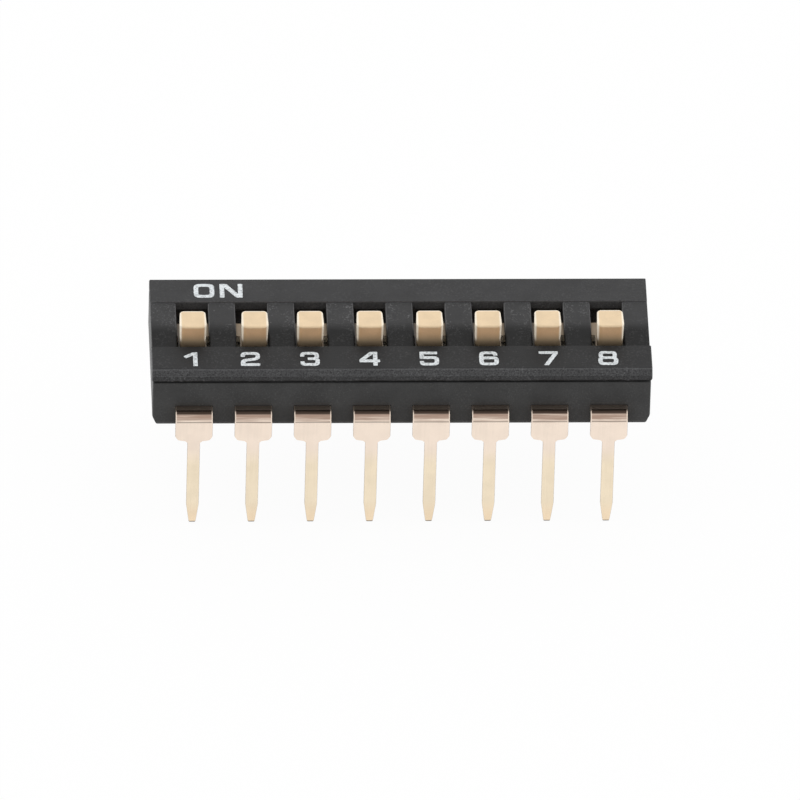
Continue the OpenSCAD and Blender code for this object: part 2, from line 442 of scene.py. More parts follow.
def cut_for_leads(base, lead, outside, gap):
    """Cuts a slit through the base's wall for each lead of a row, and a seat for each pad."""
    for name, half, inner, outer in (
        ("slits", lead.shoulder, lead.anchor, outside),
        ("pads", lead.pad, lead.end, lead.anchor + gap / 2),
    ):
        ends = sorted((lead.side * (inner - gap), lead.side * outer))
        low = (-half - gap, ends[0], lead.under - gap)
        tool = add_block(name, low, (half + gap, ends[1], lead.top + gap))
        combine(base, along_ways(tool), "DIFFERENCE")


def lead_sizes(node):
    """A lead's sizes, with its places along Y counted outwards from the middle of the switch."""
    middle = middle_x(node)
    side = -1 if node.startswith("front") else 1
    points = [Vector((p.x - middle, side * p.y, p.z)) for p in corners(node)]
    low, high = box_of(points)
    pad = box_of([p for p in points if abs(p.y - low.y) < NEAR])
    thickness = pad[1].z - pad[0].z
    bend_z = max(p.z for p in points if abs(p.y - high.y) < NEAR)
    leg = [p for p in points if p.z < bend_z + NEAR and p.y > high.y - 2 * thickness]
    return SimpleNamespace(
        side=side,
        shoulder=high.x,
        pad=pad[1].x,
        end=low.y,
        under=pad[0].z,
        top=high.z,
        anchor=min(p.y for p in points if abs(p.x - high.x) < NEAR),
        bend_y=max(p.y for p in points if abs(p.z - high.z) < NEAR),
        bend_z=bend_z,
        outline=[box_of([p for p in leg if abs(p.z - z) < NEAR]) for z in reversed(levels(leg, Z))],
    )


def model_leads(row, material):
    """The leads of one row: a level strip with a narrower pad, a bend, and a leg drawn down to its tip."""
    size = panel_sizes()
    lead = lead_sizes(f"{row}_lead_1")
    side = lead.side
    inner, outer = sorted((side * lead.anchor, side * lead.bend_y))
    piece = add_block("lead", (-lead.shoulder, inner, lead.under), (lead.shoulder, outer, lead.top))
    pick("FACE", lambda f: turned_to(f, Y, -side))
    extrude(0, 0, 0)
    stretch(x=lead.pad / lead.shoulder, about=(0, side * lead.anchor, 0))
    extrude(0, side * (lead.end - lead.anchor), 0)
    pick("FACE", lambda f: turned_to(f, Y, side) and lies_at(f, Y, side * lead.bend_y))
    centre = (0, side * lead.bend_y, lead.bend_z)
    bpy.ops.mesh.spin(steps=BEND_STEPS, angle=side * RIGHT_ANGLE, center=centre, axis=(1, 0, 0))
    for (above_low, above), (below_low, below) in zip(lead.outline, lead.outline[1:]):
        extrude(0, 0, below.z - above.z)
        middle = (0, side * (below_low.y + below.y) / 2, below.z)
        stretch(below.x / above.x, (below.y - below_low.y) / (above.y - above_low.y), 1, middle)
    tidy()
    soften(piece, size.lead_edge, lambda e: True)
    shade(piece)
    for way in WAYS:
        name = f"{row}_lead_{way}"
        copy = copy_of(piece, f"plated_{name}", (way_x(way), 0, 0))
        finish(copy, "housing", material, [name], "lead_metal")
    bpy.data.objects.remove(piece)


def slider_levels(points):
    """The heights of a slider's pocket, its notches and its foot's top."""
    return levels(points, Z)[1:4]


def slider_middle(node):
    """The middle of a slider along X and Y."""
    low, high = box_of(corners(node))
    return Vector(((low.x + high.x) / 2, (low.y + high.y) / 2, 0))


def model_sliders(tones):
    """The sliders: a foot, notched beside its knob and with a pocket under it, and a knob with soft edges."""
    size = panel_sizes()
    middle = slider_middle("slider_1")
    points = [p - middle for p in corners("slider_1")]
    low, high = box_of(points)
    pocket_top, notch, foot_top = slider_levels(points)
    pocket = box_of([p for p in points if abs(p.z - pocket_top) < NEAR])[1]
    knob = box_of([p for p in points if p.z > foot_top + NEAR])[1]

    piece = add_block("slider", low, (high.x, high.y, foot_top))
    pick("FACE", lambda f: turned_to(f, Z))
    bpy.ops.mesh.inset(thickness=high.x - knob.x)
    stretch(y=knob.y / (high.y - high.x + knob.x))
    extrude(0, 0, high.z - foot_top)
    pick("VERT", lambda v: v.co.z > foot_top - NEAR and lies_within(v, -knob, knob) and v.co.y > 0)
    stretch(x=1 - size.knob_taper / knob.x)
    pick("VERT", lambda v: lies_at(v, Z, foot_top) and lies_within(v, -knob, knob))
    stretch(x=1 - size.knob_taper / knob.x)
    pick("FACE", lambda f: turned_to(f, Z, -1))
    bpy.ops.mesh.inset(thickness=high.x - pocket.x)
    stretch(y=pocket.y / (high.y - high.x + pocket.x))
    extrude(0, 0, pocket_top - low.z)
    tidy()
    for side in (-1, 1):
        ends = sorted((side * knob.x, side * (high.x + PAST)))
        tool = add_block("notch", (ends[0], -knob.y, notch), (ends[1], knob.y, foot_top + NEAR))
        combine(piece, tool, "DIFFERENCE")
    clean_flats(piece)

    def at_knob_corner(edge, y):
        within = lies_within(edge, (-knob.x, y, foot_top), (knob.x, y, high.z))
        return within and abs(edge.verts[0].co.z - edge.verts[1].co.z) > NEAR

    soften(piece, size.knob_front, lambda e: at_knob_corner(e, -knob.y), 6)
    soften(piece, size.knob_back, lambda e: at_knob_corner(e, knob.y), 6)
    soften(piece, size.knob_edge, lambda e: lies_at(e, Z, high.z), 5)
    soften(piece, size.foot_edge, lambda e: lies_at(e, Z, foot_top) and not lies_within(e, -knob, knob))
    shade(piece)
    for way in WAYS:
        name = f"slider_{way}"
        copy = copy_of(piece, f"moulded_{name}", slider_middle(name))
        material = beige_plastic(f"beige_{name}", name, *tones)
        finish(copy, f"switch_{way}", material, [name], "slider_plastic")
    bpy.data.objects.remove(piece)


# A unit of the characters' outlines in millimetres, and their height in such units
OUTLINE_UNIT = 0.0098
CHARACTER_HEIGHT = 97
# Each character as closed outlines: the places of the corners, with how far each one is rounded
CHARACTERS = {
    "1": [[(42, 0, 3), (61, 0, 3), (61, 97, 4), (42, 97, 6), (0, 69, 4), (11, 55, 3), (42, 76, 2)]],
    "2": [[
        (0, 64, 3), (0, 97, 24), (84, 97, 26), (84, 44, 22), (20, 31, 10), (19, 18, 2), (84, 18, 3),
        (84, 0, 3), (0, 0, 3), (0, 45, 22), (66, 58, 10), (66, 79, 9), (19, 79, 8), (18, 64, 3),
    ]],
    "3": [[
        (0, 97, 24), (81, 97, 24), (82, 54, 4), (76, 50, 2), (85, 44, 6), (85, 0, 26), (0, 0, 24),
        (0, 31, 3), (18, 31, 3), (19, 18, 7), (66, 18, 8), (66, 41, 8), (33, 41, 2), (33, 58, 2),
        (63, 58, 8), (63, 79, 8), (19, 79, 7), (18, 65, 3), (0, 65, 3),
    ]],
    "4": [
        [(47, 97, 4), (79, 97, 3), (79, 42, 1), (90, 42, 3), (90, 24, 3), (79, 24, 1), (79, 0, 3),
         (60, 0, 3), (60, 24, 1), (0, 24, 4), (0, 42, 5)],
        [(24, 43, 2), (60, 43, 2), (60, 82, 2)],
    ],
    "5": [[
        (0, 97, 5), (77, 97, 3), (77, 79, 3), (19, 79, 2), (19, 64, 2), (84, 64, 24), (84, 0, 26),
        (0, 0, 22), (0, 31, 3), (18, 30, 3), (19, 18, 6), (65, 18, 10), (65, 46, 9), (0, 46, 3),
    ]],
    "6": [
        [(0, 97, 26), (80, 97, 24), (80, 68, 3), (62, 68, 3), (61, 79, 6), (19, 79, 8), (19, 61, 2),
         (85, 61, 24), (85, 0, 26), (0, 0, 26)],
        [(19, 43, 6), (66, 43, 7), (66, 18, 8), (19, 18, 8)],
    ],
    "7": [[(0, 97, 3), (84, 97, 5), (84, 82, 6), (42, 0, 3), (21, 0, 3), (62, 80, 2), (0, 80, 3)]],
    "8": [
        [(3, 97, 22), (82, 97, 22), (82, 56, 4), (78, 51, 2), (87, 46, 6), (87, 0, 26), (0, 0, 26),
         (0, 46, 6), (8, 51, 2), (3, 56, 4)],
        [(21, 80, 7), (64, 80, 7), (64, 60, 7), (21, 60, 7)],
        [(19, 43, 7), (68, 43, 7), (68, 18, 8), (19, 18, 8)],
    ],
    "O": [
        [(0, 97, 28), (90, 97, 28), (90, 0, 28), (0, 0, 28)],
        [(20, 78, 13), (70, 78, 13), (70, 19, 13), (20, 19, 13)],
    ],
    "N": [[
        (0, 97, 4), (30, 97, 4), (80, 27, 1), (80, 97, 4), (100, 97, 4), (100, 0, 6), (72, 0, 6),
        (20, 71, 1), (20, 0, 4), (0, 0, 4),
    ]],
}
# How far apart, in millimetres, a printed line strays
STRAY_STEP = 0.035


def rounded_outline(loop):
    """A character's outline with an arc at each corner, from as far before it as after it."""
    places = [Vector(corner[:2]) * OUTLINE_UNIT for corner in loop]
    line = []
    for i, (corner, (_, _, rounding)) in enumerate(zip(places, loop)):
        last, following = places[i - 1], places[(i + 1) % len(loop)]
        before = corner + (last - corner).normalized() * rounding * OUTLINE_UNIT
        after = corner + (following - corner).normalized() * rounding * OUTLINE_UNIT
        steps = 3 + rounding // 5
        for step in range(steps + 1):
            t = step / steps
            line.append((1 - t) ** 2 * before + 2 * t * (1 - t) * corner + t**2 * after)
    return line


def printed_outline(loop, roughness, draw):
    """A character's rounded outline, with its line a little rough, as ink leaves it."""
    line = rounded_outline(loop)
    rough = []
    for i, start in enumerate(line):
        end = line[(i + 1) % len(line)]
        pieces = max(1, round((end - start).length / STRAY_STEP))
        for k in range(pieces):
            nudge = Vector((draw.uniform(-1, 1), draw.uniform(-1, 1))) * roughness
            rough.append(start.lerp(end, k / pieces) + nudge)
    return rough


def print_character(character, name, centre, material):
    """Prints one character as a thin layer of ink, centred on a point of the cover's top."""
    size = panel_sizes()
    draw = random.Random(character)
    to_object_mode()
    curve = bpy.data.curves.new(name, "CURVE")
    curve.dimensions = "2D"
    curve.fill_mode = "BOTH"
    curve.extrude = size.ink_height / 2
    for loop in CHARACTERS[character]:
        points = printed_outline(loop, size.ink_roughness, draw)
        spline = curve.splines.new("POLY")
        spline.points.add(len(points) - 1)
        for place, point in zip(spline.points, points):
            place.co = (point.x, point.y, 0, 1)
        spline.use_cyclic_u = True
    piece = bpy.data.objects.new(name, curve)
    bpy.context.scene.collection.objects.link(piece)
    use(piece)
    bpy.ops.object.convert(target="MESH")
    piece = bpy.context.object
    low, high = box_of([v.co for v in piece.data.vertices])
    middle = (low + high) / 2
    bpy.ops.transform.translate(value=Vector(centre) - Vector((middle.x, middle.y, 0)))
    bpy.ops.object.transform_apply(location=True, rotation=True, scale=True)
    bpy.ops.object.mode_set(mode="EDIT")
    tidy()
    to_object_mode()
    finish(piece, "housing", material)


def model_print(material):
    """The print on the cover: a number in front of each way, and ON behind the first."""
    size = panel_sizes()
    points = corners("cover")
    top = box_of(points)[1].z + size.ink_height / 2
    slot = opening("cover", cover_levels()[-2])
    half = OUTLINE_UNIT * CHARACTER_HEIGHT / 2
    for way in WAYS:
        across = (way - (WAYS[0] + WAYS[-1]) / 2) * size.number_pitch - size.number_shift
        centre = (across, slot[0].y - size.number_gap - half, top)
        print_character(str(way), f"print_{way}", centre, material)
    for character, shift in (("O", size.o_shift), ("N", size.n_shift)):
        centre = (way_x(1) + shift, slot[1].y + size.on_gap + half, top)
        print_character(character, f"print_{character}", centre, material)


# ---------------------------------------------------------------- the finishes


class Value:
    """A node's output in an expression. An operator on it adds the Math node that works it out."""

    def __init__(self, finish, socket):
        self.finish, self.socket = finish, socket

    def _math(self, operation, *values):
        return self.finish.node("ShaderNodeMath", {"operation": operation}, values)

    def __add__(self, other):
        return self._math("ADD", self, other)

    __radd__ = __add__

    def __sub__(self, other):
        return self._math("SUBTRACT", self, other)

    def __rsub__(self, other):
        return self._math("SUBTRACT", other, self)

    def __mul__(self, other):
        return self._math("MULTIPLY", self, other)

    __rmul__ = __mul__

    def __abs__(self):
        return self._math("ABSOLUTE", self)

    def wrap(self, reach):
        """Starts again from -reach each time that it passes reach."""
        return self._math("WRAP", self, reach, -reach)

    def near(self, place, width):
        """1 at a place, going down to 0 at a width from it."""
        return abs(self - place).fade(0, width, 1, 0)

    def fade(self, low, high, start=0.0, end=1.0):
        """Goes smoothly from start to end as this value goes from low to high."""
        settings = {"interpolation_type": "SMOOTHSTEP"}
        return self.finish.node("ShaderNodeMapRange", settings, (self, low, high, start, end))


class Finish:
    """A material, or the surround, that is put together node by node."""

    def __init__(self, owner):
        self.owner = owner
        owner.use_nodes = True
        self.tree = owner.node_tree
        self.tree.nodes.clear()

    def node(self, kind, settings=None, inputs=(), output=0):
        """Adds a node, sets it, gives its sockets their values or links, and returns one of its outputs."""
        node = self.tree.nodes.new(kind)
        for name, value in (settings or {}).items():
            setattr(node, name, value)
        pairs = inputs.items() if isinstance(inputs, dict) else enumerate(inputs)
        for key, value in pairs:
            if isinstance(value, Value):
                self.tree.links.new(value.socket, node.inputs[key])
            else:
                node.inputs[key].default_value = value
        return Value(self, node.outputs[output]) if node.outputs else None

    def place(self, x=1, y=1, z=1):
        """The place on the piece in millimetres, stretched along its axes."""
        here = self.node("ShaderNodeTexCoord", output="Object")
        scale = (x * MM, y * MM, z * MM)
        return self.node("ShaderNodeVectorMath", {"operation": "MULTIPLY"}, (here, scale))

    def axes(self):
        """The place on the piece in millimetres, axis by axis."""
        place = self.place()
        return [self.node("ShaderNodeSeparateXYZ", None, (place,), axis) for axis in "XYZ"]

    def facing(self, axis):
        """How far the surface is turned along an axis of the piece, from -1 to 1."""
        normal = self.node("ShaderNodeTexCoord", output="Normal")
        return self.node("ShaderNodeSeparateXYZ", None, (normal,), axis)

    def from_way(self, x):
        """How far to the side of the nearest way a place lies."""
        return abs((x - way_x(1)).wrap(pitch() / 2))

    def specks(self, place, scale, size):
        """Small round specks, so many to the millimetre, here close together and there far apart."""
        inputs = {"Vector": place, "Scale": scale}
        spots = self.node("ShaderNodeTexVoronoi", None, inputs, "Distance").fade(size, size * 1.8, 1, 0)
        return spots * self.noise(place, scale * 0.3, 3.0).fade(0.5, 0.62)

    def noise(self, place, scale, detail=2.0, roughness=0.5):
        """A cloudy pattern with so many waves to the millimetre."""
        inputs = {"Vector": place, "Scale": scale, "Detail": detail, "Roughness": roughness}
        return self.node("ShaderNodeTexNoise", None, inputs)

    def mix(self, share, first, second):
        """A colour that goes from the first to the second as share goes from 0 to 1."""
        return self.node("ShaderNodeMix", {"data_type": "RGBA"}, {0: share, 6: first, 7: second}, 2)

    def bump(self, height, depth):
        """The normal of a surface whose height goes from 0 to 1 over a depth in millimetres."""
        return self.node("ShaderNodeBump", None, {"Height": height, "Distance": depth / MM})

    def looked_at(self):
        """1 for what the camera sees, also in reflections, and 0 for what only lights something else."""
        rays = ("Is Camera Ray", "Is Glossy Ray", "Is Transmission Ray")
        return sum(self.node("ShaderNodeLightPath", output=ray) for ray in rays).fade(0, 1)

    def surface(self, **inputs):
        """Ends the material in a Principled surface and returns it."""
        named = {name.replace("_", " "): value for name, value in inputs.items()}
        shader = self.node("ShaderNodeBsdfPrincipled", None, named)
        self.node("ShaderNodeOutputMaterial", None, {"Surface": shader})
        return self.owner


def rgb(colour, factor=1.0):
    """A colour of the panel, made lighter or darker, as a node takes it."""
    return (*(min(1.0, channel * factor) for channel in colour), 1.0)


def cover_wear(f):
    """Where the cover gets painted highlights and painted light, where it gets painted shade and where it is
    dusty.
    """
    high = box_of(corners("cover"))[1]
    _, _, chamfer, channel, top = cover_levels()
    slot = opening("cover", channel)[1]
    x, y, z = f.axes()
    side, out = f.from_way(x), abs(y)
    ridge = high.y - (top - chamfer)
    in_channel = z.fade(channel + 0.03, channel + 0.01)
    on_top = z.fade(top - 0.02, top - 0.01)

    # Painted highlights on the ridges, chamfers, long sides, ends, front left corner and slots' sides, and
    # painted light on the step to the back strip and along the channel's back edge, where shade falls
    ridges = out.near(ridge + 0.03, 0.05)
    chamfers = out.fade(ridge, ridge + 0.06) * z.fade(chamfer - 0.02, chamfer + 0.01)
    long_sides = out.fade(high.y - 0.02, high.y - 0.01)
    ends = abs(x).near(high.x, 0.07)
    front_left_corner = x.near(-high.x, 0.06) * y.fade(-slot.y, -slot.y - 0.2)
    step = z.fade(channel + 0.002, channel + 0.006) - z.fade(top - 0.006, top - 0.002)
    step_to_back_strip = y.near(slot.y, 0.03) * step
    channel_back_edge = y.near(slot.y, 0.12) * in_channel
    slot_sides = side.near(slot.x + 0.02, 0.04) * out.fade(slot.y - 0.05, slot.y, 1, 0)
    back_of_slot_sides = slot_sides * y.fade(-0.7, 0.2) * in_channel
    painted_light = (
        0.25 * ridges
        + 0.55 * chamfers
        + 0.35 * long_sides
        + 0.5 * ends
        + 1.6 * front_left_corner
        + 1.6 * step_to_back_strip
        + 0.5 * channel_back_edge
        + 1.1 * back_of_slot_sides
    )

    # Painted shade: the front strip and the channel's front half darker, where the knobs shade them
    front_strip = y.fade(-slot.y + 0.02, -slot.y - 0.02) * on_top
    channel_front = y.fade(0.3, -0.5) * in_channel
    painted_shade = 0.45 * front_strip + 0.93 * channel_front

    by_slots = side.fade(slot.x + 0.7, slot.x + 0.3) * y.fade(-0.6, 0.3) * in_channel
    beyond_ridges = out.fade(ridge - 0.02, ridge + 0.02)
    dusty = 0.25 + 0.75 * by_slots + 0.5 * beyond_ridges
    return painted_light, painted_shade, dusty


def base_wear(f):
    """The same for the base: painted highlights at its edges and painted light inside, a little dusty and no
    painted shade.
    """
    low, high = box_of(corners("base"))
    x, y, z = f.axes()
    # Painted highlights along the lower edges and the ends, and painted light inside the base, where shade
    # falls
    lower_edges = z.near(low.z + 0.08, 0.12)
    ends = abs(x).near(high.x, 0.08)
    inside = abs(y).fade(high.y - 0.2, high.y - 0.3) * z.fade(low.z + 0.05, low.z + 0.1)
    painted_light = 0.5 * lower_edges + 0.3 * ends + 1.2 * inside
    painted_shade, dusty = 0.0, 0.25
    return painted_light, painted_shade, dusty


def black_plastic(name, colour, light_shade_and_dust):
    """Moulded black plastic: cloudy, finely grained and dusty, with painted highlights, painted light and
    painted shade.
    """
    f = Finish(bpy.data.materials.new(name))
    here = f.place()
    clouds = f.noise(here, 0.9, 3.0)
    grain = f.noise(here, 14.0, 4.0, 0.6)
    flow = f.noise(f.place(x=0.5, y=2.0, z=2.0), 3.0, 3.0)
    painted_light, painted_shade, dusty = light_shade_and_dust(f)
    patchy = f.noise(here, 15.0, 4.0, 0.7).fade(0.34, 0.6, 0.25, 1)
    frost = f.noise(here, 11.0, 3.0, 0.75).fade(0.54, 0.62) * f.noise(here, 0.8, 3.0).fade(0.4, 0.55)
    dark, light, matt = rgb(colour, 0.8), rgb(colour, 1.2), rgb(colour, 0.1)
    dust_and_light_tone, dust = rgb(colour, 3.2), rgb(colour, 4.0)

    base = f.mix((0.5 * clouds + 0.5 * grain).fade(0.3, 0.7), dark, light)
    # Painted shade: the colour drops to a tenth where the piece is painted as shaded
    base = f.mix(painted_shade, base, matt)
    base = f.mix(0.75 * frost * dusty, base, dust_and_light_tone)
    # Painted highlights and painted light, broken into patches
    base = f.mix(painted_light * patchy, base, dust_and_light_tone)
    base = f.mix(0.8 * f.specks(here, 5.0, 0.09) * dusty, base, dust)
    return f.surface(
        Base_Color=base,
        Roughness=0.42 + 0.2 * grain + 0.1 * clouds,
        Normal=f.bump(0.7 * grain + 0.3 * flow, 0.01),
        Specular_IOR_Level=0.2,
    )


def beige_plastic(name, node, colour, warm, low, rim):
    """A slider's beige plastic: painted highlights on the knob's edges, painted shade down it and on the
    foot.
    """
    f = Finish(bpy.data.materials.new(name))
    here = f.place()
    x, y, z = f.axes()
    points = corners(node)
    top, cover = box_of(points)[1].z, box_of(corners("cover"))[1].z
    foot_top = slider_levels(points)[-1]
    knob_low, knob_high = box_of([p for p in points if p.z > foot_top + NEAR])
    half = (knob_high.x - knob_low.x) / 2
    aside = abs(x - (knob_low.x + knob_high.x) / 2)
    clouds = f.noise(here, 1.6, 3.0)
    grain = f.noise(here, 18.0, 3.0, 0.6)

    above_foot = z.fade(foot_top + 0.02, foot_top + 0.05)
    below_foot = z.fade(foot_top - 0.01, foot_top - 0.03)
    sides = aside.fade(half - 0.15, half - 0.06) * z.fade(cover - 0.1, cover + 0.25)
    back_edge = y.fade(knob_high.y - 0.14, knob_high.y - 0.06) * z.fade(top - 0.2, top - 0.1)
    outwards = f.from_way(x).fade(half, half + 0.14, 0.22, 0.7)
    in_narrow_gap = (f.from_way(x) - aside).fade(0.0, 0.03, 0.0, 0.45)
    foot_shade = (outwards + in_narrow_gap) * (1 - above_foot) * (1 - below_foot)
    knob_shade = 0.5 * z.fade(cover + 0.3, cover - 0.05) * above_foot
    notch_shade = 0.8 * z.fade(foot_top - 0.28, foot_top - 0.36)

    # Painted shade: the knob warmer and darker below its top
    base = f.mix(z.fade(top - 0.02, top - 0.12), rgb(colour), rgb(warm))
    # Painted shade: darker still low on the knob and on the foot
    base = f.mix(z.fade(top - 0.3, cover + 0.05), base, rgb(low))
    # Painted highlights on the knob's rounded sides and its back edge
    base = f.mix((0.95 * sides + 0.8 * back_edge).fade(0, 1), base, rgb(rim))
    # Painted light below the foot's top, where the notch's wall shows beside the knob
    base = f.mix(below_foot, base, rgb(rim))
    base = f.mix(foot_shade + knob_shade + notch_shade, base, BLACK)
    base = f.mix(clouds.fade(0.3, 0.7) * 0.08, base, BLACK)
    return f.surface(
        Base_Color=f.mix(grain.fade(0.3, 0.8) * 0.06, base, BLACK),
        Roughness=0.36 + 0.16 * grain,
        Normal=f.bump(grain, 0.004),
    )


def gold_plating(name, colour, warm, tip, bent):
    """Thin gold plating on a stamped strip: drawn along the leg, and lined around the bend, with a painted
    brown reflection there.
    """
    f = Finish(bpy.data.materials.new(name))
    lead = lead_sizes("front_lead_1")
    x, _, z = f.axes()
    drawn = f.noise(f.place(x=14.0, y=14.0, z=0.5), 1.0, 3.0)
    clouds = f.noise(f.place(), 1.4, 3.0)
    stretched = f.noise(f.place(x=0.4, y=13.0, z=13.0), 1.0, 3.0, 0.7)

    bend = z.fade(lead.bend_z - 0.03, lead.bend_z + 0.01)
    face = f.from_way(x).fade(lead.shoulder - 0.07, lead.shoulder - 0.03, 1, 0)
    below_top = z.fade(lead.top - 0.012, lead.top - 0.003, 1, 0.3)
    lines = z.fade(lead.bend_z, lead.top - 0.16, 0.1, 0.85) + 2.2 * (stretched - 0.5)
    crown = z.fade(lead.top - 0.12, lead.top - 0.07) * below_top
    crease = 0.75 * z.near(lead.bend_z + 0.06, 0.04)
    tip_end = 0.95 * z.fade(0.13, 0.06)
    stamped_sides = 0.45 * abs(f.facing("X")).fade(0.2, 0.7) * (1 - bend)

    base = f.mix(z.fade(lead.bend_z - 2.4, lead.bend_z - 1.2), rgb(warm), rgb(colour))
    base = f.mix(z.fade(1.3, 0.2), base, rgb(tip))
    base = f.mix((0.6 * clouds + 0.4 * drawn).fade(0.35, 0.65) * 0.06, base, BLACK)
    # Painted reflection: the bend darkened towards brown in stretched lines, except at the lead's rounded
    # sides
    base = f.mix((bend * below_top * lines).fade(0, 1) * face, base, rgb(bent))
    # Painted reflection of the black base on the top of the level part and in the bend's crease, and painted
    # shade at the very tip
    base = f.mix((crown + crease + tip_end) * face, base, rgb(bent, 0.16))
    base = f.mix(stamped_sides, base, rgb(bent))
    return f.surface(
        Base_Color=base,
        Metallic=1.0,
        Roughness=0.16 + 0.1 * clouds + 0.2 * bend * stretched,
        Normal=f.bump(0.5 * drawn + bend * stretched, 0.005),
    )


def rolled_gold(name, colour):
    """Gold-plated spring strip, with the lines of its rolling."""
    f = Finish(bpy.data.materials.new(name))
    rolled = f.noise(f.place(x=20.0, y=0.8, z=0.8), 1.0, 3.0)
    clouds = f.noise(f.place(), 2.0, 3.0)
    return f.surface(
        Base_Color=f.mix(clouds.fade(0.35, 0.65), rgb(colour), rgb(colour, 0.88)),
        Metallic=1.0,
        Roughness=0.2 + 0.15 * rolled,
        Normal=f.bump(rolled, 0.003),
    )


def white_ink(name, colour):
    """Pad-printed ink: matt, thin in places."""
    f = Finish(bpy.data.materials.new(name))
    here = f.place()
    patches = f.noise(here, 11.0, 4.0, 0.75)
    grain = f.noise(here, 30.0, 2.0)
    return f.surface(
        Base_Color=f.mix(patches.fade(0.36, 0.56), rgb(colour, 0.5), rgb(colour)),
        Roughness=0.55 + 0.2 * grain,
        Normal=f.bump(grain, 0.004),
    )


# ---------------------------------------------------------------- the stage


def add_floor(colour):
    """A matt floor that shows white to the camera."""
    to_object_mode()
    bpy.ops.mesh.primitive_plane_add(size=3, location=(0, 0, 0))
    floor = bpy.context.object
    floor.name = "floor"
    f = Finish(bpy.data.materials.new("floor_white"))
    matt = f.node("ShaderNodeBsdfDiffuse", None, {"Color": rgb(colour)})
    bright = f.node("ShaderNodeEmission", None, {"Color": WHITE, "Strength": 1.0})
    both = f.node("ShaderNodeMixShader", None, (f.looked_at() * 0.95, matt, bright))
    f.node("ShaderNodeOutputMaterial", None, {"Surface": both})
    floor.data.materials.append(f.owner)


def add_surround():
    """A white surround, whose light is weaker from the front than from behind."""
    f = Finish(bpy.data.worlds.new("surround"))
    bpy.context.scene.world = f.owner
    seen = f.looked_at()
    way = f.node("ShaderNodeTexCoord", output="Generated")
    front = -1 * f.node("ShaderNodeSeparateXYZ", None, (way,), "Y")
    strength = seen + (1 - seen) * front.fade(0.1, 0.9, 1.05, 0.4)
    light = f.node("ShaderNodeBackground", None, {"Color": WHITE, "Strength": strength})
    f.node("ShaderNodeOutputWorld", None, {"Surface": light})


def add_lamps():
    """Three soft lamps turned to the switch: one high behind it and one low at each side."""
    for name, place, width, power in (
        ("lamp_back", (0.02, 0.16, 0.2), 0.2, 0.05),
        ("lamp_left", (-0.2, -0.04, 0.07), 0.12, 0.07),
        ("lamp_right", (0.2, -0.04, 0.07), 0.12, 0.07),
    ):
        data = bpy.data.lights.new(name, "AREA")
        data.shape, data.size, data.energy = "SQUARE", width, power
        lamp = bpy.data.objects.new(name, data)
        bpy.context.scene.collection.objects.link(lamp)
        lamp.location = place
        lamp.rotation_euler = (-Vector(place)).to_track_quat("-Z", "Y").to_euler()


def add_camera(view):
    """The camera, as far away, turned, raised, tilted and moved as a view says."""
    turn, rise = view.turn, view.rise
    back = Vector((math.sin(turn) * math.cos(rise), -math.cos(turn) * math.cos(rise), math.sin(rise)))
    right = Vector((math.cos(turn), math.sin(turn), 0))
    above = back.cross(right)
    across = math.cos(view.roll) * right - math.sin(view.roll) * above
    upward = math.sin(view.roll) * right + math.cos(view.roll) * above
    camera = bpy.data.objects.new("camera", bpy.data.cameras.new("camera"))
    bpy.context.scene.collection.objects.link(camera)
    aim = Vector(view.aim) + across * view.slide[0] + upward * view.slide[1]
    camera.matrix_world = Matrix((across, upward, back)).transposed().to_4x4()
    camera.location = aim + back * view.distance
    camera.data.lens = camera.data.sensor_width * view.distance / view.width
    bpy.context.scene.camera = camera


def add_stage():
    """The floor, the surround, the lamps and the camera."""
    scene = bpy.context.scene
    add_floor(scene.switch_finishes.floor)
    add_surround()
    add_lamps()
    add_camera(scene.switch_view)
    scene.view_settings.view_transform = "Standard"


# ---------------------------------------------------------------- the add-on


def length(name, description, millimetres):
    """A length that the panel shows."""
    return bpy.props.FloatProperty(
        name=name, description=description, default=millimetres / MM, subtype="DISTANCE", precision=6
    )


def angle(name, description, degrees):
    """An angle that the panel shows."""
    return bpy.props.FloatProperty(
        name=name, description=description, default=math.radians(degrees), subtype="ANGLE"
    )


def colour(name, description, *channels):
    """A colour that the panel shows."""
    return bpy.props.FloatVectorProperty(
        name=name, description=description, default=channels, subtype="COLOR", min=0, max=1
    )


class SwitchSizes(bpy.types.PropertyGroup):
    """The sizes that the frame doesn't give."""

    cover_edge: length("Cover edges", "Rounding of the cover's outer edges", 0.04)
    slot_edge: length("Slot edges", "Rounding of the long edges of the slots", 0.06)
    base_edge: length("Base edges", "Rounding of the base's edges", 0.06)
    seam_height: length("Seam height", "Height of the seam between the cover and the base", 0.07)
    seam_depth: length("Seam depth", "Depth of the seam", 0.12)
    knob_front: length("Knob front corners", "Rounding of a knob's upright edges at the front", 0.27)
    knob_back: length("Knob back corners", "Rounding of a knob's upright edges at the back", 0.17)
    knob_edge: length("Knob top", "Rounding around a knob's top", 0.08)
    knob_taper: length("Knob taper", "How far a knob's sides are drawn in at its back and its foot", 0.045)
    foot_edge: length("Foot edges", "Rounding of a slider's foot", 0.03)
    lead_edge: length("Lead edges", "Rounding of the leads' stamped edges", 0.045)
    lead_gap: length("Lead gap", "Gap between a lead and the plastic around it", 0.01)
    ink_height: length("Ink", "Thickness of the print", 0.012)
    ink_roughness: length("Ink roughness", "How far the print's outline strays", 0.006)
    number_gap: length("Number gap", "From a slot to the number in front of it", 0.42)
    number_pitch: length("Number pitch", "From one number to the next", 2.5547)
    number_shift: length("Number shift", "How far the numbers lie to the left of their ways", 0.1)
    on_gap: length("ON gap", "From a slot to ON behind it", 0.255)
    o_shift: length("O shift", "From the middle of way 1 to the middle of O", 0.545)
    n_shift: length("N shift", "From the middle of way 1 to the middle of N", 1.71)


